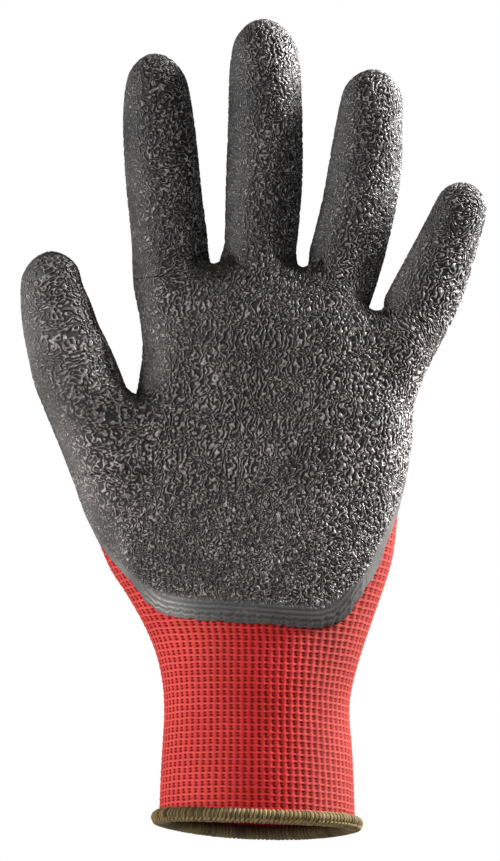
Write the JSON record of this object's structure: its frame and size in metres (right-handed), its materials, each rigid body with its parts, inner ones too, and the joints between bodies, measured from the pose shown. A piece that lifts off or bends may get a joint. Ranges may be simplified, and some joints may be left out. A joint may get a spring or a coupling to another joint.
{
  "type": "latex coated grip glove",
  "caption": "Knitted work glove for the left hand, dipped in crinkled latex over the palm, fingers and thumb, with a knitted cuff and an overlocked hem.",
  "frame": {"origin": "centre of the cuff's mouth, where the wrist goes in", "axes": "+Z from the cuff to the fingertips, -Y the side that the palm faces, -X the side that the thumb points to"},
  "size_m": [0.1395, 0.0494, 0.2444],
  "materials": {
    "red_knit": "knitted polyester, matt with a faint sheen",
    "grey_latex": "crinkled latex, satin with small bright glints",
    "olive_thread": "overlocked polyester thread, matt"
  },
  "bodies": {
    "root": {"knitted_liner": "red_knit", "latex_coating": "grey_latex", "cuff_hem": "olive_thread"}
  },
  "joints": []
}
